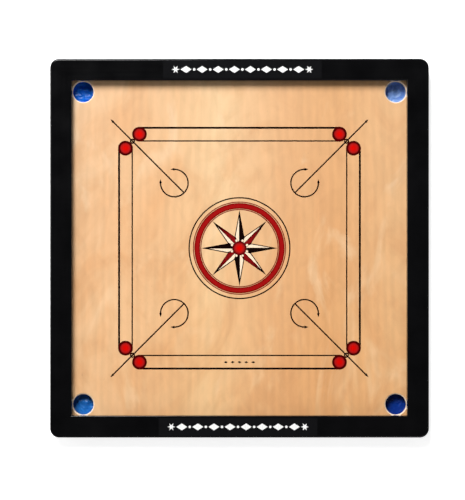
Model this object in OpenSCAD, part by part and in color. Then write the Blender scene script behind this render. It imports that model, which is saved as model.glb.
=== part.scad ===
// Carrom board: a lacquered plywood playing board in a mitred frame, with four
// cloth pockets. Millimetres, +Z up, +Y towards the back rail. The origin is at
// the middle of the frame's underside.

/* [Frame] */
// Outside length of each side of the frame
board_w = 660.4; // [640:0.1:760]
// Width of a rail, seen from above
rail_w = 38.1; // [34:0.1:44]
// Height of a rail
rail_h = 35; // [33:0.5:42]
// Radius of the frame's outside corners, seen from above
corner_r = 16; // [10:0.5:20]
// Radius of the rounded edge along the top of the frame's outside
edge_r = 3; // [1.5:0.5:6]
// Radius of the softer edge along the top of the frame's inside
arris_r = 1.2; // [0.5:0.1:2]
// Width of the ledge under which the playing board's edge sits
ledge_w = 10; // [10:0.5:12]

/* [Playing board] */
// Thickness of the plywood
ply_t = 4; // [3.5:0.5:5]
// Depth of the playing surface below the top of the rails
play_depth = 16; // [13:0.5:17]
// Gap between the plywood's edge and the rail
ply_gap = 0.2; // [0.1:0.1:0.6]

/* [Pockets] */
// Diameter of a pocket hole
hole_d = 36; // [30:0.5:36.5]
// Diameter of the bevel round a hole, at the playing surface
bevel_d = 39.6; // [37.5:0.1:40]
// Depth of the bevel
bevel_h = 1.5; // [0.5:0.1:2.5]
// Distance from a hole's centre to the rail's inner face
hole_inset = 18.6; // [18.6:0.1:24]
// Outside diameter of a pouch
pouch_d = 48; // [44:1:48]
// Thickness of the pouch cloth
cloth_t = 0.8; // [0.6:0.1:1.2]
// Diameter of the pouch's flat rim, which is tacked to the board
rim_d = 56; // [56:0.5:57]
// Number of tacks round a pouch
tack_count = 8; // [5:1:10]

/* [Battens] */
// Width of a batten under the board
batten_w = 30; // [24:1:50]
// Height of a batten
batten_h = 12; // [8:0.5:12]

/* [Nails and pins] */
// Diameter of a frame nail
nail_d = 2.6; // [2:0.1:3]
// Diameter of a frame nail's head
nail_head_d = 5.4; // [4:0.1:6]
// Length of a frame nail
nail_l = 46; // [40:1:50]
// Diameter of a panel pin
pin_d = 1.4; // [1:0.1:1.8]
// Length of a panel pin
pin_l = 14; // [10:1:16]
// Number of panel pins along each rail
pin_count = 6; // [3:1:8]

/* [Labels] */
// Length of a label strip
label_l = 276; // [200:1:300]
// Width of a label strip
label_w = 31; // [20:1:32]
// Sideways place of the back label's middle
label_back_x = 5; // [-20:0.5:20]
// Sideways place of the front label's middle
label_front_x = -2.5; // [-20:0.5:20]

/* [Printed lines] */
// Distance from the centre to the middle of a pair of base lines
base_mid = 199.5; // [198:0.5:205]
// Diameter of a base circle
base_d = 26; // [22:0.1:28]
// Diameter of the red spot in a base circle
spot_d = 18.8; // [14:0.1:20]
// Distance from the middle of a side to its base circles
base_half_l = 175; // [165:0.5:176]
// Width of the outer base line
outer_line_w = 3.4; // [1:0.1:4]
// Width of the inner base line and of the thin black circles
thin_line_w = 2.2; // [0.6:0.1:2.4]
// Distance along X and Y from the centre to an arrow's tip
arrow_tip = 226; // [215:0.5:235]
// Distance along X and Y from the centre to the middle of an arrow's arc
arc_mid = 114; // [100:0.5:120]
// Radius of an arrow's arc
arc_r = 24.1; // [18:0.1:26]
// Width of an arrow's line
arrow_line_w = 2.4; // [0.8:0.1:2.6]

/* [Printed centre] */
// Radius of the thin black circle
black_ring_r = 88.2; // [84.2:0.1:95]
// Radius of the thin red circle outside the red band
outer_ring_r = 80.7; // [80.4:0.1:82]
// Outer radius of the red band
band_out_r = 79; // [76:0.1:79.4]
// Inner radius of the red band
band_in_r = 69.1; // [69:0.1:74]
// Radius of the thin red circle inside the red band
inner_ring_r = 67.6; // [67.5:0.1:68.1]
// Width of the thin red circles
red_line_w = 1.6; // [0.6:0.1:1.6]
// Radius of the star's points
star_r = 66.6; // [50:0.1:66.6]
// Radius of the corners between the star's points
star_valley_r = 22; // [20:0.5:26]
// Width of the outlines of the star's pale halves
star_line_w = 1.6; // [0.4:0.1:1.8]
// Width of the outlines of the star's dark red halves
star_red_line_w = 0.7; // [0.3:0.1:1]

/* [Hidden] */
$fn = 96;
eps = 1;
side_count = 4;
half_w = board_w / 2;
opening = board_w - 2 * rail_w;
play_z = rail_h - play_depth;
ply_z = play_z - ply_t;
body_w = rail_w - ledge_w;
ply_w = board_w - 2 * (body_w + ply_gap);
hole_at = opening / 2 - hole_inset;
batten_l = board_w - 2 * body_w;
batten_z = ply_z - batten_h;
batten_chamfer = 2;

tack_r = pouch_d / 2 + 2.3;
tack_d = 1.2;
tack_head_d = 3.2;
tack_head_h = 0.6;
tack_l = 3.8;
pouch_floor_z = 1;

nail_head_h = 1.5;
corner_nail_inset = 23;
corner_nail_z = [9, 26];
batten_nail_y = batten_w / 4;
batten_nail_z = batten_z + batten_h / 2;
pin_head_d = 3;
pin_head_h = 0.8;
pin_at = half_w - rail_w + ledge_w / 2;
pin_span = 400;

label_t = 0.2;
ink_t = 0.1;
label_ink_z = rail_h + label_t;
label_y = half_w - rail_w / 2;
lozenge_l = 19;
lozenge_w = 12;
lozenge_count = 8;
lozenge_pitch = 28;
label_dot_d = 4.5;
label_star_r = 7;
label_star_valley_r = 2.8;
label_star_points = 6;
label_star_gap = 4.2;
small_lozenge_l = 7;
small_lozenge_w = 4;
small_lozenge_count = 5;
small_lozenge_pitch = 12;

overlap = 0.1;
corner_ring_d = 9;
arrow_head_l = 7.5;
arrow_head_w = 4.6;
arc_head_l = 6.7;
arc_head_w = 5;
hub_r = 12.6;
dot_r = 2;
dot_line_w = 0.6;
dot_at = 14.2;
star_points = 8;
star_middle_w = 0.8;
point_step = 360 / star_points;

// ---- Frame -----------------------------------------------------------------

// Section of a rail, with its outer face at x = 0 and its inner face at rail_w.
module rail_section() {
    difference() {
        union() {
            translate([edge_r, 0]) square([rail_w - edge_r, rail_h]);
            square([edge_r + overlap, rail_h - edge_r]);
            translate([edge_r, rail_h - edge_r]) circle(edge_r);
        }
        translate([body_w, -eps]) square([ledge_w + eps, play_z + eps]);
    }
}

// Outer strip of a rail's section, as wide as the corner's radius.
module corner_section() {
    intersection() {
        rail_section();
        square([corner_r, rail_h]);
    }
}

// Front rail between its two mitres, with no holes.
module plain_rail() {
    inner = opening / 2;
    straight = half_w - corner_r;
    intersection() {
        translate([-straight, -half_w, 0])
            rotate([90, 0, 90]) linear_extrude(2 * straight) rail_section();
        translate([0, 0, -eps]) linear_extrude(rail_h + 2 * eps)
            polygon([[-half_w, -half_w], [half_w, -half_w], [inner, -inner], [-inner, -inner]]);
    }
    translate([straight, -straight, 0]) rotate([0, 0, -90]) rotate_extrude(angle = 45)
        translate([corner_r, 0]) mirror([1, 0]) corner_section();
    translate([-straight, -straight, 0]) rotate([0, 0, -135]) rotate_extrude(angle = 45)
        translate([corner_r, 0]) mirror([1, 0]) corner_section();
}

// What is planed off the upper edge of the front rail's inner face.
module arris_cut() {
    translate([-half_w, -opening / 2 - arris_r, rail_h - arris_r]) rotate([90, 0, 90])
        linear_extrude(board_w) difference() {
            square(arris_r + eps);
            circle(arris_r);
        }
}

// Nail driven along +Y, with its head flush with the frame's front face.
module nail() {
    translate([0, -half_w, 0]) rotate([-90, 0, 0]) {
        cylinder(d = nail_head_d, h = nail_head_h);
        cylinder(d = nail_d, h = nail_l);
    }
}

// The two corner nails that go in through the front rail's outer face.
module corner_nail_pair() {
    at = half_w - corner_nail_inset;
    translate([-at, 0, corner_nail_z[0]]) nail();
    translate([at, 0, corner_nail_z[1]]) nail();
}

// The nails through the front rail into the end of a batten.
module batten_nail_pair() {
    for (side = [-1, 1])
        translate([side * batten_nail_y, 0, batten_nail_z]) nail();
}

// Panel pins along the front rail, driven up through the board's edge.
module pin_row() {
    for (i = [0 : pin_count - 1])
        translate([pin_span * (i / (pin_count - 1) - 0.5), -pin_at, ply_z]) {
            cylinder(d = pin_d, h = pin_l);
            translate([0, 0, -pin_head_h]) cylinder(d = pin_head_d, h = pin_head_h);
        }
}

module rail(turn) {
    color("black") rotate([0, 0, turn]) difference() {
        plain_rail();
        arris_cut();
        for (side = [0 : side_count - 1]) rotate([0, 0, side * 90]) corner_nail_pair();
        batten_nail_pair();
        pin_row();
    }
}

module rail_front() { rail(0); }
module rail_right() { rail(90); }
module rail_back() { rail(180); }
module rail_left() { rail(270); }

// ---- Playing board ---------------------------------------------------------

module at_pockets() {
    for (x = [-hole_at, hole_at], y = [-hole_at, hole_at])
        translate([x, y, 0]) children();
}

module playing_board() {
    color("burlywood") difference() {
        translate([-ply_w / 2, -ply_w / 2, ply_z]) cube([ply_w, ply_w, ply_t]);
        at_pockets() {
            translate([0, 0, ply_z - eps]) cylinder(d = hole_d, h = ply_t + 2 * eps);
            translate([0, 0, play_z - bevel_h])
                cylinder(d1 = hole_d, d2 = bevel_d, h = bevel_h);
            tack_ring();
        }
        for (side = [0 : side_count - 1]) rotate([0, 0, side * 90]) pin_row();
    }
}

// ---- Battens ---------------------------------------------------------------

// Batten along X with its two lower edges chamfered.
module plain_batten() {
    bottom = batten_w / 2 - batten_chamfer;
    translate([-batten_l / 2, 0, batten_z]) rotate([90, 0, 90]) linear_extrude(batten_l)
        polygon([[-bottom, 0], [bottom, 0], [batten_w / 2, batten_chamfer],
            [batten_w / 2, batten_h], [-batten_w / 2, batten_h], [-batten_w / 2, batten_chamfer]]);
}

// Half-lap notch in the middle of a batten, from height z upwards.
module lap_notch(z) {
    translate([-batten_w / 2, -batten_w / 2 - eps, z])
        cube([batten_w, batten_w + 2 * eps, batten_h / 2 + eps]);
}

module batten(turn, notch_z) {
    color("tan") difference() {
        rotate([0, 0, turn]) difference() {
            plain_batten();
            lap_notch(notch_z);
        }
        for (side = [0 : side_count - 1]) rotate([0, 0, side * 90]) batten_nail_pair();
    }
}

module batten_cross() { batten(0, batten_z - eps); }
module batten_long() { batten(90, batten_z + batten_h / 2); }

// ---- Pouches ---------------------------------------------------------------

// Tacks round a pouch's rim, driven up into the board.
module tack_ring() {
    for (i = [0 : tack_count - 1])
        rotate([0, 0, (i + 0.5) * 360 / tack_count]) translate([tack_r, 0, ply_z - cloth_t]) {
            cylinder(d = tack_d, h = tack_l);
            translate([0, 0, -tack_head_h]) cylinder(d = tack_head_d, h = tack_head_h);
        }
}

// Cloth cup under a hole, with a flat rim against the board.
module pouch() {
    color("royalblue") difference() {
        union() {
            translate([0, 0, pouch_floor_z]) cylinder(d = pouch_d, h = ply_z - pouch_floor_z);
            translate([0, 0, ply_z - cloth_t]) cylinder(d = rim_d, h = cloth_t);
        }
        translate([0, 0, pouch_floor_z + cloth_t])
            cylinder(d = pouch_d - 2 * cloth_t, h = ply_z - pouch_floor_z);
        tack_ring();
    }
}

module tacks() { color("silver") tack_ring(); }

module pouch_front_left() { translate([-hole_at, -hole_at, 0]) pouch(); }
module pouch_front_right() { translate([hole_at, -hole_at, 0]) pouch(); }
module pouch_back_right() { translate([hole_at, hole_at, 0]) pouch(); }
module pouch_back_left() { translate([-hole_at, hole_at, 0]) pouch(); }

module tacks_front_left() { translate([-hole_at, -hole_at, 0]) tacks(); }
module tacks_front_right() { translate([hole_at, -hole_at, 0]) tacks(); }
module tacks_back_right() { translate([hole_at, hole_at, 0]) tacks(); }
module tacks_back_left() { translate([-hole_at, hole_at, 0]) tacks(); }

// ---- Nails and pins --------------------------------------------------------

module corner_nails() {
    color("dimgray")
        for (side = [0 : side_count - 1]) rotate([0, 0, side * 90]) corner_nail_pair();
}

module batten_nails() {
    color("dimgray")
        for (side = [0 : side_count - 1]) rotate([0, 0, side * 90]) batten_nail_pair();
}

module panel_pins() {
    color("silver")
        for (side = [0 : side_count - 1]) rotate([0, 0, side * 90]) pin_row();
}

// ---- Labels ----------------------------------------------------------------

module label_strip() {
    color("#1a1a1c") translate([-label_l / 2, -label_w / 2, rail_h])
        cube([label_l, label_w, label_t]);
}

module label_back() { translate([label_back_x, label_y, 0]) label_strip(); }
module label_front() { translate([label_front_x, -label_y, 0]) label_strip(); }

module lozenge(l, w) {
    polygon([[-l / 2, 0], [0, -w / 2], [l / 2, 0], [0, w / 2]]);
}

module lozenge_row(count, pitch, l, w) {
    for (i = [0 : count - 1])
        translate([(i - (count - 1) / 2) * pitch, 0]) lozenge(l, w);
}

// Row of lozenges with a dot between each two, and a small star at both ends.
module label_ornament() {
    lozenge_row(lozenge_count, lozenge_pitch, lozenge_l, lozenge_w);
    for (i = [1 : lozenge_count - 1])
        translate([(i - lozenge_count / 2) * lozenge_pitch, 0]) circle(d = label_dot_d);
    for (side = [-1, 1])
        translate([side * (lozenge_count / 2 * lozenge_pitch + label_star_gap), 0])
            star_shape(label_star_points, label_star_r, label_star_valley_r);
}

module print_white() {
    color("white") translate([0, 0, label_ink_z]) linear_extrude(ink_t) {
        translate([label_back_x, label_y]) label_ornament();
        translate([label_front_x, -label_y]) label_ornament();
    }
}

// ---- Printing on the playing board -----------------------------------------

module ink() {
    translate([0, 0, play_z]) linear_extrude(ink_t) children();
}

module ring(r_out, r_in) {
    difference() {
        circle(r_out);
        circle(r_in);
    }
}

// Circle drawn with a line of width w.
module thin_ring(r, w) { ring(r + w / 2, r - w / 2); }

module bar(x0, x1, y0, y1) {
    translate([x0, y0]) square([x1 - x0, y1 - y0]);
}

// Triangle with its tip at the origin, pointing along +X.
module head(l, w) { polygon([[0, 0], [-l, w / 2], [-l, -w / 2]]); }

// One pair of base lines along the back, with the circles at its ends.
module base_lines() {
    reach = base_d / 2 - overlap;
    difference() {
        union() {
            bar(-base_half_l, base_half_l, base_mid + reach - outer_line_w, base_mid + reach);
            bar(-base_half_l, base_half_l, base_mid - reach, base_mid - reach + thin_line_w);
            for (x = [-base_half_l, base_half_l]) translate([x, base_mid]) circle(d = base_d);
        }
        for (x = [-base_half_l, base_half_l]) translate([x, base_mid]) circle(d = spot_d);
    }
}

// Arrow from the centre towards a pocket, drawn along +X.
module arrow_shaft() {
    start = arc_mid * sqrt(2) - arc_r;
    tip = arrow_tip * sqrt(2);
    bar(start, tip - arrow_head_l + overlap, -arrow_line_w / 2, arrow_line_w / 2);
    translate([tip, 0]) head(arrow_head_l, arrow_head_w);
    translate([(base_mid + base_half_l) / sqrt(2), 0])
        thin_ring((corner_ring_d - thin_line_w) / 2, thin_line_w);
}

// Three quarters of a circle, open towards +X and +Y, with a head at each end.
module arc_arrow() {
    translate([arc_mid, arc_mid]) {
        difference() {
            thin_ring(arc_r, arrow_line_w);
            square(arc_r + arrow_line_w);
        }
        translate([arc_head_l - overlap, arc_r]) head(arc_head_l, arc_head_w);
        translate([arc_r, arc_head_l - overlap]) rotate([0, 0, 90]) head(arc_head_l, arc_head_w);
    }
}

function on_circle(r, a) = [r * cos(a), r * sin(a)];

// Half of a star point along +X, with its two outer edges moved inwards by w and
// its edge along the point's middle moved by middle_w.
function half_outline(w, middle_w) =
    let (valley = on_circle(star_valley_r, point_step / 2), tip = [star_r, 0])
    let (root_angle = point_step / 2, tip_angle = atan2(valley.y, tip.x - valley.x))
    let (to_both = (tip - valley) / norm(tip - valley) - valley / norm(valley))
    [[w / sin(root_angle) + middle_w / tan(root_angle), middle_w],
        valley + to_both * w / sin(root_angle + tip_angle),
        [tip.x - w / sin(tip_angle) - middle_w / tan(tip_angle), middle_w]];

// Pale half of star point number i, on its anticlockwise side.
module cream_half(i) {
    rotate([0, 0, i * point_step]) polygon(half_outline(star_line_w, star_middle_w));
}

// Dark red half of star point number i, on its clockwise side.
module red_half(i) {
    rotate([0, 0, i * point_step]) mirror([0, 1]) polygon(half_outline(star_red_line_w, 0));
}

// Star with its first point along +X.
module star_shape(points, r_out, r_in) {
    polygon([for (i = [0 : 2 * points - 1])
        on_circle(i % 2 == 0 ? r_out : r_in, i * 180 / points)]);
}

module at_dots() {
    for (i = [0 : star_points - 1])
        rotate([0, 0, (i + 0.5) * point_step]) translate([dot_at, 0]) children();
}

// Pale halves of the star's points.
module cream_halves() {
    difference() {
        for (i = [0 : star_points - 1]) cream_half(i);
        circle(hub_r);
        at_dots() circle(dot_r + dot_line_w);
    }
}

// Dark red halves of the star's four diagonal points.
module red_halves() {
    difference() {
        for (i = [1 : 2 : star_points - 1]) red_half(i);
        circle(hub_r);
        at_dots() circle(dot_r + dot_line_w);
    }
}

// Disc that the star's points spring from.
module hub() {
    difference() {
        circle(hub_r);
        at_dots() circle(dot_r);
    }
}

module star_black() {
    difference() {
        star_shape(star_points, star_r, star_valley_r);
        cream_halves();
        red_halves();
        circle(hub_r);
        at_dots() circle(dot_r);
    }
}

module print_black() {
    color("#200100") ink() {
        for (side = [0 : side_count - 1]) rotate([0, 0, side * 90]) {
            base_lines();
            rotate([0, 0, 45]) arrow_shaft();
            arc_arrow();
        }
        thin_ring(black_ring_r, thin_line_w);
        star_black();
        translate([0, -base_mid]) lozenge_row(small_lozenge_count, small_lozenge_pitch,
            small_lozenge_l, small_lozenge_w);
    }
}

module print_red() {
    color("#b41214") ink() {
        ring(band_out_r, band_in_r);
        for (r = [inner_ring_r, outer_ring_r]) thin_ring(r, red_line_w);
        red_halves();
        hub();
        for (side = [0 : side_count - 1], x = [-base_half_l, base_half_l])
            rotate([0, 0, side * 90]) translate([x, base_mid]) circle(d = spot_d);
    }
}

module print_cream() {
    color("#f7e3c4") ink() {
        cream_halves();
        at_dots() circle(dot_r);
    }
}

rail_front();
rail_right();
rail_back();
rail_left();
playing_board();
batten_cross();
batten_long();
pouch_front_left();
pouch_front_right();
pouch_back_right();
pouch_back_left();
tacks_front_left();
tacks_front_right();
tacks_back_right();
tacks_back_left();
corner_nails();
batten_nails();
panel_pins();
label_back();
label_front();
print_black();
print_red();
print_cream();
print_white();
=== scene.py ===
import math
import random

import bpy
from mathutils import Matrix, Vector, noise
from mathutils.geometry import delaunay_2d_cdt


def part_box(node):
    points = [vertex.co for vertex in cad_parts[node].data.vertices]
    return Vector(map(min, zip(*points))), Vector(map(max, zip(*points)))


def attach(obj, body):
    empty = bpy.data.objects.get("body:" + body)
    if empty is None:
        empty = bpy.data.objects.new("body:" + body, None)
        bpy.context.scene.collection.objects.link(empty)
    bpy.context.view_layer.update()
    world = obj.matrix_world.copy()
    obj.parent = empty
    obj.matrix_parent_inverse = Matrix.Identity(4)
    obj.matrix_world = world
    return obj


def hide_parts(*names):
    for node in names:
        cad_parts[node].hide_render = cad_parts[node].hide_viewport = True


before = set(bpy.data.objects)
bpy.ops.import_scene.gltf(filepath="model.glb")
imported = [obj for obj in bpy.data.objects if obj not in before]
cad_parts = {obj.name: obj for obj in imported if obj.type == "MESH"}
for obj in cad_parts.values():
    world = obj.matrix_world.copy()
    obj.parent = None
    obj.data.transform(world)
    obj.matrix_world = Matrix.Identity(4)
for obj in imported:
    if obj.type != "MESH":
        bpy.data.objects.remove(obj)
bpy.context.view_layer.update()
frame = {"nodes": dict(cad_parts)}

# Looks of the carrom board: a finish for each CAD node, four simulated cloth
# pouches in place of the CAD cups, a floor, lights and a camera straight above.
# Metres, +Z up, +Y towards the back rail.

MM = 0.001
BODY = "root"

BOARD_LOW, BOARD_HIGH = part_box("playing_board")
RAIL_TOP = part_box("rail_front")[1].z
PLAY_Z = BOARD_HIGH.z
UNDER_Z = BOARD_LOW.z

POCKETS = ["front_left", "front_right", "back_right", "back_left"]

# The printing, as the CAD model draws it: how far a base circle's middle is from the
# board's centre, across and along a side, and the circle's radius
BASE_MID = 199.5 * MM
BASE_HALF_L = 175 * MM
BASE_R = 13 * MM

# Radii round the board's centre of the hub and of the red band's inside and middle
HUB_R = 12.6 * MM
BAND_IN_R = 69.1 * MM
BAND_MID_R = 74 * MM

# Radii where there is no red ink: between the star and the rings, and outside them
STAR_EDGE = 66 * MM
CENTRE_EDGE = 92.5 * MM


# ---- Node materials ---------------------------------------------------------


def srgb(red, green, blue):
    """Linear colour, with alpha, of an sRGB colour from 0 to 255."""
    linear = []
    for value in (red, green, blue):
        v = value / 255
        linear.append(v / 12.92 if v <= 0.04045 else ((v + 0.055) / 1.055) ** 2.4)
    return (*linear, 1.0)


class Paint:
    """A new material, with short calls that add nodes to it."""

    def __init__(self, name, **values):
        self.material = bpy.data.materials.new(name)
        self.material.use_nodes = True
        self.nodes = self.material.node_tree.nodes
        self.links = self.material.node_tree.links
        self.shader = self.nodes["Principled BSDF"]
        self.place = self.nodes.new("ShaderNodeTexCoord").outputs["Object"]
        for socket, value in values.items():
            self.shader.inputs[socket.replace("_", " ")].default_value = value

    def feed(self, socket, value):
        """Links value to the socket if it is an output, and sets it otherwise."""
        if isinstance(value, bpy.types.NodeSocket):
            self.links.new(value, socket)
        else:
            socket.default_value = value

    def set(self, socket, value):
        """Feeds value to one of the shader's own sockets."""
        self.feed(self.shader.inputs[socket], value)

    def math(self, operation, *values):
        """Result of a Math node."""
        node = self.nodes.new("ShaderNodeMath")
        node.operation = operation
        for socket, value in zip(node.inputs, values):
            self.feed(socket, value)
        return node.outputs[0]

    def axes(self, vector=None):
        """The X, Y and Z of a vector, or else of the place."""
        node = self.nodes.new("ShaderNodeSeparateXYZ")
        self.feed(node.inputs[0], vector or self.place)
        return node.outputs

    def scaled(self, scale, vector=None):
        """A vector, or else the place, times a scale for each axis."""
        node = self.nodes.new("ShaderNodeMapping")
        self.feed(node.inputs["Vector"], vector or self.place)
        node.inputs["Scale"].default_value = scale
        return node.outputs[0]

    def noise(self, scale, detail=2.0, roughness=0.5, distortion=0.0):
        """Noise from 0 to 1, with a scale for each axis in waves per metre."""
        node = self.nodes.new("ShaderNodeTexNoise")
        self.feed(node.inputs["Vector"], self.scaled(scale))
        node.inputs["Scale"].default_value = 1.0
        node.inputs["Detail"].default_value = detail
        node.inputs["Roughness"].default_value = roughness
        node.inputs["Distortion"].default_value = distortion
        return node.outputs["Fac"]

    def span(self, value, low, high, to_low=0.0, to_high=1.0):
        """Maps low..high smoothly to to_low..to_high."""
        node = self.nodes.new("ShaderNodeMapRange")
        node.interpolation_type = "SMOOTHSTEP"
        for index, number in enumerate((value, low, high, to_low, to_high)):
            self.feed(node.inputs[index], number)
        return node.outputs[0]

    def mix(self, amount, a, b, blend="MIX"):
        """Colour a where amount is 0 and b where it is 1."""
        node = self.nodes.new("ShaderNodeMix")
        node.data_type = "RGBA"
        node.blend_type = blend
        # A Mix node's colour sockets share their names with others, so they go by number.
        self.feed(node.inputs[0], amount)
        self.feed(node.inputs[6], a)
        self.feed(node.inputs[7], b)
        return node.outputs[2]

    def tone(self, colour, factor):
        """Colour times a number, where 1 leaves it as it is."""
        node = self.nodes.new("ShaderNodeVectorMath")
        node.operation = "SCALE"
        linked = isinstance(colour, bpy.types.NodeSocket)
        self.feed(node.inputs[0], colour if linked else colour[:3])
        self.feed(node.inputs["Scale"], factor)
        return node.outputs[0]

    def ramp(self, value, stops):
        """Colour at value in a list of positions from 0 to 1 and their colours."""
        node = self.nodes.new("ShaderNodeValToRGB")
        self.feed(node.inputs[0], value)
        elements = node.color_ramp.elements
        while len(elements) < len(stops):
            elements.new(0.5)
        for element, (position, colour) in zip(elements, stops):
            element.position = position
            element.color = colour
        return node.outputs[0]

    def bump(self, height, distance, strength=1.0):
        """Raises the surface by up to distance, in metres, where height is 1."""
        node = self.nodes.new("ShaderNodeBump")
        node.inputs["Strength"].default_value = strength
        node.inputs["Distance"].default_value = distance
        self.feed(node.inputs["Height"], height)
        self.links.new(node.outputs[0], self.shader.inputs["Normal"])


def wear(obj, paint):
    """Gives the object this one material."""
    slots = obj.data.materials
    if not slots:
        slots.append(paint.material)
    for index in range(len(slots)):
        obj.material_slots[index].material = paint.material


def black_lacquer(name, along):
    """Brushed black lacquer on wood, with the grain along X (0) or Y (1)."""
    paint = Paint(name, IOR=1.5, Specular_IOR_Level=0.3)
    stretch = (6, 260, 260) if along == 0 else (260, 6, 260)
    grain = paint.noise(stretch, detail=3)
    cloud = paint.noise((22, 22, 22), detail=3)
    dark, light = (0.0012, 0.0012, 0.0014, 1), (0.0045, 0.0045, 0.005, 1)
    paint.set("Base Color", paint.mix(cloud, dark, light))
    paint.set("Roughness", paint.span(paint.math("ADD", grain, cloud), 0.6, 1.4, 0.1, 0.18))
    paint.bump(grain, 0.02 * MM, 0.3)
    return paint


# The veneer's bands from left to right, and where the first and the last lie on X
BANDS = [
    (0.0, srgb(225, 182, 140)),
    (0.24, srgb(223, 177, 131)),
    (0.37, srgb(229, 190, 144)),
    (0.5, srgb(225, 180, 134)),
    (0.66, srgb(219, 168, 121)),
    (0.86, srgb(216, 162, 112)),
    (1.0, srgb(223, 175, 127)),
]
BANDS_FROM, BANDS_TO = -0.24, 0.36
BANDS_WARP = 110 * MM

# The face is warmer towards the front rail and cooler towards the back rail, and
# goes on changing up to this far from the board's centre
TINT_REACH = 0.3
FRONT_TINT = (0.99, 0.965, 0.9, 1)
BACK_TINT = (0.965, 1.015, 1.07, 1)

# The figure's rings run round a point this far in front of the board's centre
RINGS_AHEAD = 0.34


def veneer(paint):
    """Colour of the board's face: pale birch with its grain along Y."""
    x, y, _ = paint.axes()
    warp = paint.noise((4, 1.5, 1), detail=3)
    across = paint.math("MULTIPLY_ADD", warp, BANDS_WARP, x)
    bands = paint.ramp(paint.span(across, BANDS_FROM, BANDS_TO), BANDS)

    swirl = paint.noise((7, 3.6, 1), detail=5, roughness=0.6, distortion=2.2)
    figure = paint.mix(paint.span(swirl, 0.4, 0.66, 0, 0.5), bands, srgb(209, 154, 107))
    warm = paint.noise((3.4, 1.8, 1), detail=3, distortion=1.4)
    figure = paint.mix(paint.span(warm, 0.48, 0.72, 0, 0.4), figure, srgb(214, 150, 96))
    pale = paint.noise((11, 5, 1), detail=4, distortion=1.8)
    figure = paint.mix(paint.span(pale, 0.54, 0.74, 0, 0.45), figure, srgb(235, 203, 165))

    tint = paint.mix(paint.span(y, -TINT_REACH, TINT_REACH), FRONT_TINT, BACK_TINT)
    figure = paint.mix(1.0, figure, tint, "MULTIPLY")

    rings = paint.nodes.new("ShaderNodeTexWave")
    rings.wave_type = "RINGS"
    rings.rings_direction = "Z"
    from_middle = paint.nodes.new("ShaderNodeVectorMath")
    from_middle.operation = "ADD"
    from_middle.inputs[0].default_value = (0, RINGS_AHEAD, 0)
    paint.feed(from_middle.inputs[1], paint.place)
    paint.feed(rings.inputs["Vector"], paint.scaled((16, 1.7, 1), from_middle.outputs[0]))
    rings.inputs["Scale"].default_value = 1.3
    rings.inputs["Distortion"].default_value = 4.5
    rings.inputs["Detail"].default_value = 3.0
    rings.inputs["Detail Scale"].default_value = 1.2
    grain = paint.noise((230, 7, 1), detail=3)
    mottle = paint.noise((42, 20, 1), detail=5, distortion=1.2)
    speck = paint.span(paint.noise((420, 160, 1), detail=1), 0.74, 0.8)

    factor = paint.math("MULTIPLY_ADD", rings.outputs["Fac"], 0.045, 0.95)
    factor = paint.math("ADD", factor, paint.span(grain, 0.25, 0.75, -0.015, 0.015))
    factor = paint.math("ADD", factor, paint.span(mottle, 0.3, 0.7, -0.035, 0.035))
    factor = paint.math("MULTIPLY_ADD", speck, -0.12, factor)
    # The grain goes back too, for the finish of the face and its bevels.
    return paint.tone(figure, factor), grain


def ply_material():
    """Lacquered face, pale bevels, layered edges and a raw underside."""
    paint = Paint("plywood", IOR=1.5, Specular_IOR_Level=0.3)
    face, grain = veneer(paint)
    geometry = paint.nodes.new("ShaderNodeNewGeometry")
    up = paint.axes(geometry.outputs["True Normal"])[2]
    depth = paint.axes()[2]

    layer = paint.noise((30, 30, 900), detail=1)
    edge = paint.mix(paint.span(layer, 0.42, 0.58), srgb(196, 146, 98), srgb(226, 186, 138))
    under_figure = paint.noise((160, 5, 1), detail=4, roughness=0.6)
    under_patch = paint.noise((6, 3, 1), detail=3, distortion=1.2)
    under = paint.mix(under_figure, srgb(205, 164, 116), srgb(226, 190, 145))
    under = paint.mix(paint.span(under_patch, 0.45, 0.75, 0, 0.5), under, srgb(188, 142, 96))
    bevel = paint.mix(grain, srgb(226, 200, 172), srgb(246, 228, 206))

    # By how far the surface faces up: face, bevels, cut edges, underside
    colour = paint.mix(paint.span(up, 0.9, 0.98), bevel, face)
    colour = paint.mix(paint.span(up, 0.2, 0.4), edge, colour)
    colour = paint.mix(paint.span(up, -0.6, -0.8), colour, under)
    paint.set("Base Color", colour)
    # Raw wood at the underside is rougher by 0.45 than the lacquered face.
    bare = paint.span(depth, UNDER_Z + 1 * MM, PLAY_Z - 1 * MM, 0.45, 0)
    paint.set("Roughness", paint.math("MULTIPLY_ADD", grain, 0.1, paint.math("ADD", bare, 0.12)))
    return paint


def bare_wood(name, along):
    """Planed softwood, with its grain along X (0) or Y (1)."""
    paint = Paint(name, IOR=1.45)
    fine = (7, 330, 330) if along == 0 else (330, 7, 330)
    broad = (1.5, 45, 45) if along == 0 else (45, 1.5, 45)
    grain = paint.noise(fine, detail=3)
    year = paint.noise(broad, detail=2, distortion=0.6)
    colour = paint.mix(paint.span(year, 0.35, 0.65), srgb(218, 178, 124), srgb(188, 140, 88))
    paint.set("Base Color", paint.tone(colour, paint.span(grain, 0.3, 0.7, 0.9, 1.06)))
    paint.set("Roughness", paint.span(grain, 0.3, 0.7, 0.62, 0.8))
    paint.bump(grain, 0.2 * MM, 0.6)
    return paint


def steel(name, shade):
    """Bright drawn steel with fine scratches."""
    paint = Paint(name, Metallic=1.0)
    scratch = paint.noise((900, 900, 900), detail=3)
    paint.set("Base Color", paint.tone(shade, paint.span(scratch, 0.3, 0.7, 0.8, 1.05)))
    paint.set("Roughness", paint.span(scratch, 0.3, 0.7, 0.25, 0.45))
    return paint


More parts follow.
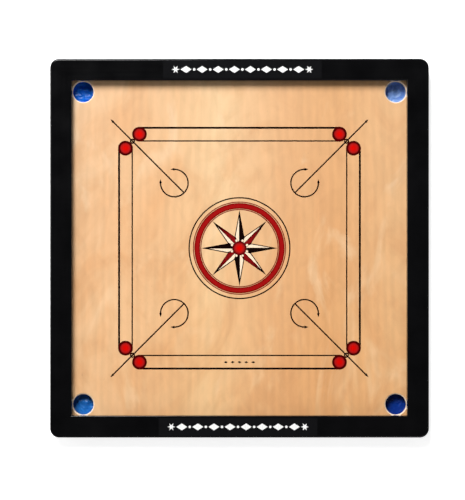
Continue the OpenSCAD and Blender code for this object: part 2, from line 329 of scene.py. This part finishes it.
def painted_nail():
    """Nail heads under the frame's lacquer, rougher than the wood round them."""
    paint = Paint("painted_nail", IOR=1.5)
    speck = paint.noise((700, 700, 700), detail=3)
    dark, light = (0.003, 0.003, 0.003, 1), (0.012, 0.012, 0.013, 1)
    paint.set("Base Color", paint.mix(speck, dark, light))
    paint.set("Roughness", paint.span(speck, 0.3, 0.7, 0.35, 0.55))
    paint.bump(speck, 0.15 * MM, 0.6)
    return paint


def vinyl():
    """Glossy black film of the two labels."""
    paint = Paint("label_vinyl", IOR=1.5, Specular_IOR_Level=0.25)
    cloud = paint.noise((60, 60, 1), detail=4)
    speck = paint.noise((1500, 1500, 1), detail=1)
    paint.set("Base Color", paint.mix(cloud, srgb(15, 15, 16), srgb(20, 20, 22)))
    paint.set("Roughness", paint.span(speck, 0.3, 0.7, 0.09, 0.13))
    paint.bump(speck, 0.005 * MM, 0.2)
    return paint


def ink(name, colour_of):
    """Lacquered printing ink; colour_of gives its colour, without grain, from a Paint."""
    paint = Paint(name, IOR=1.5, Specular_IOR_Level=0.25)
    grain = paint.noise((420, 9, 1), detail=3)
    screen = paint.noise((1100, 1100, 1), detail=2)
    shade = paint.math(
        "ADD", paint.span(grain, 0.3, 0.75, 0.93, 1.07), paint.span(screen, 0.62, 0.8, 0, 0.06)
    )
    paint.set("Base Color", paint.tone(colour_of(paint), shade))
    paint.set("Roughness", paint.span(screen, 0.3, 0.7, 0.13, 0.2))
    return paint


def length_of(paint, vector):
    """Length of a vector output."""
    node = paint.nodes.new("ShaderNodeVectorMath")
    node.operation = "LENGTH"
    paint.feed(node.inputs[0], vector)
    return node.outputs["Value"]


def from_base_circle(paint):
    """Distance from the middle of the nearest base circle."""
    x, y, _ = paint.axes()
    x, y = paint.math("ABSOLUTE", x), paint.math("ABSOLUTE", y)
    far = paint.math("SUBTRACT", paint.math("MAXIMUM", x, y), BASE_MID)
    along = paint.math("SUBTRACT", paint.math("MINIMUM", x, y), BASE_HALF_L)
    return paint.math("SQRT", paint.math("MULTIPLY_ADD", far, far, paint.math("POWER", along, 2)))


def beyond(paint, distance, edge):
    """0 inside the edge and 1 outside it."""
    return paint.span(distance, edge - 0.1 * MM, edge + 0.1 * MM)


# Reds from the middle of a spot out to SPOT_REACH, and along a point of the star
# from the board's centre out to the red band
SPOT_REACH = 12 * MM
SPOT_REDS = [
    (0.0, srgb(208, 5, 2)),
    (0.3, srgb(196, 9, 5)),
    (0.48, srgb(180, 19, 16)),
    (0.64, srgb(158, 23, 22)),
    (0.8, srgb(116, 12, 12)),
    (0.95, srgb(72, 3, 3)),
]
POINT_REDS = [
    (0.2, srgb(128, 15, 17)),
    (0.5, srgb(112, 10, 12)),
    (0.74, srgb(16, 2, 2)),
]


def spot_of(paint, distance):
    """Red that is brightest in a spot's middle and maroon at its edge."""
    return paint.ramp(paint.math("DIVIDE", distance, SPOT_REACH), SPOT_REDS)


def red_of(paint):
    """Shaded hub and spots, a dull red band and star points that darken outwards."""
    radius = length_of(paint, paint.scaled((1, 1, 0)))
    hub = spot_of(paint, radius)
    points = paint.ramp(paint.math("DIVIDE", radius, BAND_IN_R), POINT_REDS)
    star = paint.mix(beyond(paint, radius, HUB_R), hub, points)
    across = paint.math("ABSOLUTE", paint.math("SUBTRACT", radius, BAND_MID_R))
    band = paint.mix(paint.span(across, 2 * MM, 4.5 * MM), srgb(150, 16, 16), srgb(112, 7, 7))
    centre = paint.mix(beyond(paint, radius, STAR_EDGE), star, band)
    spots = spot_of(paint, from_base_circle(paint))
    return paint.mix(beyond(paint, radius, CENTRE_EDGE), centre, spots)


def black_of(paint):
    """Black that turns maroon in the rings round the base circles."""
    near = paint.span(from_base_circle(paint), BASE_R, BASE_R + 0.6 * MM, 1, 0)
    return paint.mix(near, srgb(14, 3, 2), srgb(66, 2, 1))


# Scale of a Wave texture that gives a thread every 0.75 mm
WEAVE_SCALE = 420


def nylon(name, deep, bright):
    """Shiny plain-woven cloth; its UV map is the flat cut, in metres."""
    paint = Paint(name, IOR=1.5, Specular_IOR_Level=0.4, Sheen_Weight=0.3, Sheen_Roughness=0.35)
    cut = paint.nodes.new("ShaderNodeUVMap").outputs[0]
    threads = []
    for direction in ("X", "Y"):
        wave = paint.nodes.new("ShaderNodeTexWave")
        wave.bands_direction = direction
        paint.feed(wave.inputs["Vector"], cut)
        wave.inputs["Scale"].default_value = WEAVE_SCALE
        threads.append(wave.outputs["Fac"])
    weave = paint.math("MAXIMUM", *threads)
    soft = paint.noise((140, 140, 140), detail=3)
    # Painted light and shade: deep and bright carry each pouch's lighter or darker blues, and the
    # noise mixes them at random over the cloth.
    dye_and_painted_light = paint.mix(soft, deep, bright)
    paint.set("Base Color", paint.tone(dye_and_painted_light, paint.span(weave, 0, 1, 0.82, 1.05)))
    paint.set("Roughness", paint.span(weave, 0, 1, 0.42, 0.3))
    paint.bump(weave, 0.06 * MM, 0.5)
    return paint


# ---- Pouches ----------------------------------------------------------------

# Radii of the flat cut, of its part inside the tacked edge, and of the gathered rim
CUT_R = 42 * MM
MOUTH_FLAT_R = 36 * MM
RIM_R = 27.6 * MM
CLOTH_T = 0.5 * MM
PLEATS = 24
PLEAT_DEPTH = 0.9 * MM

# Highest and lowest the cloth's middle may be, and the surface that it sags on to
CEILING = UNDER_Z - 0.4 * MM
LOWEST = 0.6 * MM
REST_Z = 1.0 * MM

# The cloth before it is simulated: the size of its mesh, its sag, and the ripples
# that start its creases, of which the last two numbers are in millimetres
SPACING = 2.0 * MM
SAG = 3 * MM
RIPPLE_L = 11 * MM
RIPPLE_H = 5
JITTER = 0.3

# The simulation runs at 20 times real size. Its contact distances are in that size.
SIM_SCALE = 20
CONTACT = 0.008
SELF_CONTACT = 0.012
GATHER_FRAMES = 36
SETTLE_FRAMES = 60


def cut_points():
    """Points of the flat round cut: a triangular lattice, clear of an even edge."""
    points = []
    row_step = SPACING * math.sqrt(3) / 2
    rows = int(CUT_R / row_step) + 1
    for row in range(-rows, rows + 1):
        for step in range(-rows - 2, rows + 3):
            p = Vector(((step + (row % 2) / 2) * SPACING, row * row_step))
            if p.length < CUT_R - 0.6 * SPACING:
                points.append(p)
    edge_count = int(2 * math.pi * CUT_R / SPACING)
    for i in range(edge_count):
        a = 2 * math.pi * i / edge_count
        points.append(Vector((CUT_R * math.cos(a), CUT_R * math.sin(a))))
    return points


def gathered(p):
    """Where a point of the cut's edge is tacked: closer in, with small pleats."""
    r = p.length - (CUT_R - RIM_R)
    a = math.atan2(p.y, p.x)
    pleat = 0.5 - 0.5 * math.cos(PLEATS * a + math.pi)
    return Vector((r * math.cos(a), r * math.sin(a), CEILING - PLEAT_DEPTH * pleat))


def cut_cloth(name, seed):
    """The flat cut as a mesh object at SIM_SCALE, and its key for the gathered edge."""
    rng = random.Random(seed)
    verts, _, faces, *_ = delaunay_2d_cdt(cut_points(), [], [], 0, 1e-7)
    mesh = bpy.data.meshes.new(name)
    places = []
    for p in verts:
        inner = max(0.0, 1 - (p.length / MOUTH_FLAT_R) ** 2)
        ripple = noise.noise(Vector((p.x / RIPPLE_L, p.y / RIPPLE_L, seed)))
        wobble = (rng.uniform(-JITTER, JITTER) + RIPPLE_H * ripple) * MM * inner
        places.append(Vector((p.x, p.y, CEILING - SAG * inner + wobble)) * SIM_SCALE)
    mesh.from_pydata(places, [], [list(f) for f in faces])
    uv = mesh.uv_layers.new(name="cut")
    for loop in mesh.loops:
        uv.data[loop.index].uv = verts[loop.vertex_index]
    obj = bpy.data.objects.new(name, mesh)
    bpy.context.scene.collection.objects.link(obj)

    pin = obj.vertex_groups.new(name="tacked")
    obj.shape_key_add(name="flat")
    key = obj.shape_key_add(name="gathered")
    for index, p in enumerate(verts):
        if p.length >= MOUTH_FLAT_R:
            pin.add([index], 1.0, "REPLACE")
            key.data[index].co = gathered(p) * SIM_SCALE
    return obj, key


def level_square(name, half, z):
    """A square face, as an object, at height z and centred on the origin."""
    mesh = bpy.data.meshes.new(name)
    corners = [(-half, -half, z), (half, -half, z), (half, half, z), (-half, half, z)]
    mesh.from_pydata(corners, [], [(0, 1, 2, 3)])
    obj = bpy.data.objects.new(name, mesh)
    bpy.context.scene.collection.objects.link(obj)
    return obj


def simulate(cloth, key):
    """Draws the edge in to the tacks while the cloth sags on to a surface below."""
    rest = level_square("rest_surface", 3 * CUT_R * SIM_SCALE, REST_Z * SIM_SCALE)
    collision = rest.modifiers.new("Collision", "COLLISION")
    collision.settings.thickness_outer = CONTACT
    collision.settings.cloth_friction = 8
    modifier = cloth.modifiers.new("Cloth", "CLOTH")
    settings = modifier.settings
    settings.quality = 7
    settings.mass = 0.25
    settings.tension_stiffness = 18
    settings.compression_stiffness = 18
    settings.shear_stiffness = 6
    settings.bending_stiffness = 0.3
    settings.air_damping = 2
    settings.vertex_group_mass = "tacked"
    modifier.collision_settings.distance_min = CONTACT
    modifier.collision_settings.use_self_collision = True
    modifier.collision_settings.self_distance_min = SELF_CONTACT
    modifier.point_cache.frame_start = 1
    modifier.point_cache.frame_end = SETTLE_FRAMES
    key.value = 0
    key.keyframe_insert("value", frame=1)
    key.value = 1
    key.keyframe_insert("value", frame=GATHER_FRAMES)
    for step in range(1, SETTLE_FRAMES + 1):
        bpy.context.scene.frame_set(step)
    bpy.data.objects.remove(rest)


def settled_mesh(cloth, name):
    """The cloth's shape now, at real size, as a new mesh."""
    seen = cloth.evaluated_get(bpy.context.evaluated_depsgraph_get())
    mesh = bpy.data.meshes.new_from_object(seen)
    mesh.name = name
    for vertex in mesh.vertices:
        co = vertex.co / SIM_SCALE
        co.z = min(max(co.z, LOWEST), CEILING)
        vertex.co = co
    return mesh


def pouch(name, seed, paint):
    """Cloth pouch, tacked under its hole, in place of the CAD model's cup."""
    low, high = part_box("pouch_" + name)
    centre = (low + high) / 2
    cloth, key = cut_cloth("cut_" + name, seed)
    simulate(cloth, key)
    bpy.context.view_layer.update()
    mesh = settled_mesh(cloth, "cloth_" + name)
    bpy.data.objects.remove(cloth)
    for vertex in mesh.vertices:
        vertex.co += Vector((centre.x, centre.y, 0))
    piece = bpy.data.objects.new("cloth_pouch_" + name, mesh)
    bpy.context.scene.collection.objects.link(piece)
    solid = piece.modifiers.new("Thickness", "SOLIDIFY")
    solid.thickness = CLOTH_T
    solid.offset = 0
    smooth = piece.modifiers.new("Smooth", "SUBSURF")
    smooth.levels = smooth.render_levels = 1
    mesh.polygons.foreach_set("use_smooth", [True] * len(mesh.polygons))
    mesh.materials.clear()
    mesh.materials.append(paint.material)
    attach(piece, BODY)
    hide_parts("pouch_" + name)


# ---- The CAD nodes' finishes ------------------------------------------------


def finish_nodes():
    """Gives every CAD node that stays in view its material."""
    nodes = frame["nodes"]
    lacquer = [black_lacquer("black_lacquer_x", 0), black_lacquer("black_lacquer_y", 1)]
    for side, along in (("front", 0), ("back", 0), ("left", 1), ("right", 1)):
        wear(nodes["rail_" + side], lacquer[along])
    wear(nodes["playing_board"], ply_material())
    wear(nodes["batten_cross"], bare_wood("batten_wood_x", 0))
    wear(nodes["batten_long"], bare_wood("batten_wood_y", 1))
    bright = steel("bright_steel", (0.62, 0.62, 0.6, 1))
    for pocket in POCKETS:
        wear(nodes["tacks_" + pocket], bright)
    wear(nodes["panel_pins"], bright)
    paint = painted_nail()
    for node in ("corner_nails", "batten_nails"):
        wear(nodes[node], paint)
    label = vinyl()
    for node in ("label_back", "label_front"):
        wear(nodes[node], label)
    wear(nodes["print_black"], ink("ink_black", black_of))
    wear(nodes["print_red"], ink("ink_red", red_of))
    wear(nodes["print_cream"], ink("ink_cream", lambda paint: srgb(238, 214, 186)))
    wear(nodes["print_white"], ink("ink_white", lambda paint: srgb(236, 236, 234)))


# ---- Stage ------------------------------------------------------------------


def floor(half, z, glow):
    """White floor just below the rails, which glows so that it looks as pale as paper."""
    obj = level_square("floor", half, z)
    paint = Paint("floor_white", Specular_IOR_Level=0.2)
    cloud = paint.noise((3, 3, 3), detail=2)
    paint.set("Base Color", paint.mix(cloud, (0.93, 0.93, 0.93, 1), (0.95, 0.95, 0.95, 1)))
    paint.set("Roughness", paint.span(cloud, 0.3, 0.7, 0.6, 0.7))
    paint.set("Emission Color", (1, 1, 1, 1))
    paint.set("Emission Strength", glow)
    obj.data.materials.append(paint.material)


def area_light(name, place, width, height, power):
    """Soft elliptical lamp of some watts that faces the origin."""
    light = bpy.data.lights.new(name, "AREA")
    light.shape = "ELLIPSE"
    light.size = width
    light.size_y = height
    light.energy = power
    obj = bpy.data.objects.new(name, light)
    obj.location = place
    obj.rotation_euler = (-Vector(place)).to_track_quat("-Z", "Y").to_euler()
    bpy.context.scene.collection.objects.link(obj)


def surroundings(zenith, horizon):
    """Grey room round the scene, as bright as horizon low down and zenith overhead."""
    world = bpy.data.worlds.new("room")
    world.use_nodes = True
    nodes, links = world.node_tree.nodes, world.node_tree.links
    place = nodes.new("ShaderNodeTexCoord")
    axes = nodes.new("ShaderNodeSeparateXYZ")
    links.new(place.outputs["Generated"], axes.inputs[0])
    ramp = nodes.new("ShaderNodeValToRGB")
    ramp.color_ramp.interpolation = "EASE"
    ramp.color_ramp.elements[0].position = 0.02
    ramp.color_ramp.elements[0].color = (horizon, horizon, horizon, 1)
    ramp.color_ramp.elements[1].position = 0.75
    ramp.color_ramp.elements[1].color = (zenith, zenith, zenith, 1)
    links.new(axes.outputs[2], ramp.inputs[0])
    links.new(ramp.outputs[0], nodes["Background"].inputs["Color"])
    bpy.context.scene.world = world


def camera(offset, view_height, distance):
    """Looks straight down from distance above the rails, with +Y up in the picture.

    view_height is what the picture spans from top to bottom at the rails' top.
    """
    data = bpy.data.cameras.new("camera")
    data.sensor_width = 36
    data.lens = data.sensor_width * distance / view_height
    obj = bpy.data.objects.new("camera", data)
    obj.location = (offset[0], offset[1], RAIL_TOP + distance)
    bpy.context.scene.collection.objects.link(obj)
    bpy.context.scene.camera = obj


finish_nodes()

# Name, seed of the ripples, and the deep and the bright blue of each pouch. The pouches are one
# cloth, so their different blues are painted light and shade: each pouch's blues are set lighter
# or darker, and brighter overall to make up for the shade inside its hole.
for name, seed, deep, bright in (
    ("back_left", 11, srgb(0, 84, 200), srgb(14, 134, 246)),
    ("back_right", 12, srgb(98, 150, 220), srgb(150, 182, 242)),
    ("front_left", 13, srgb(8, 82, 166), srgb(40, 128, 208)),
    ("front_right", 14, srgb(0, 34, 118), srgb(0, 58, 154)),
):
    pouch(name, seed, nylon("nylon_" + name, deep, bright))

floor(half=9.0, z=-0.3 * MM, glow=0.72)
area_light("key", (-0.95, 2.5, 2.9), width=1.5, height=2.2, power=228)
area_light("left", (-2.4, 0.3, 1.6), width=1.2, height=1.2, power=10)
area_light("front", (0.9, -2.2, 1.8), width=1.4, height=1.4, power=10)
surroundings(zenith=0.015, horizon=0.8)
camera(offset=(-12.2 * MM, -3.2 * MM), view_height=870.5 * MM, distance=3.0)
bpy.context.scene.view_settings.view_transform = "Standard"
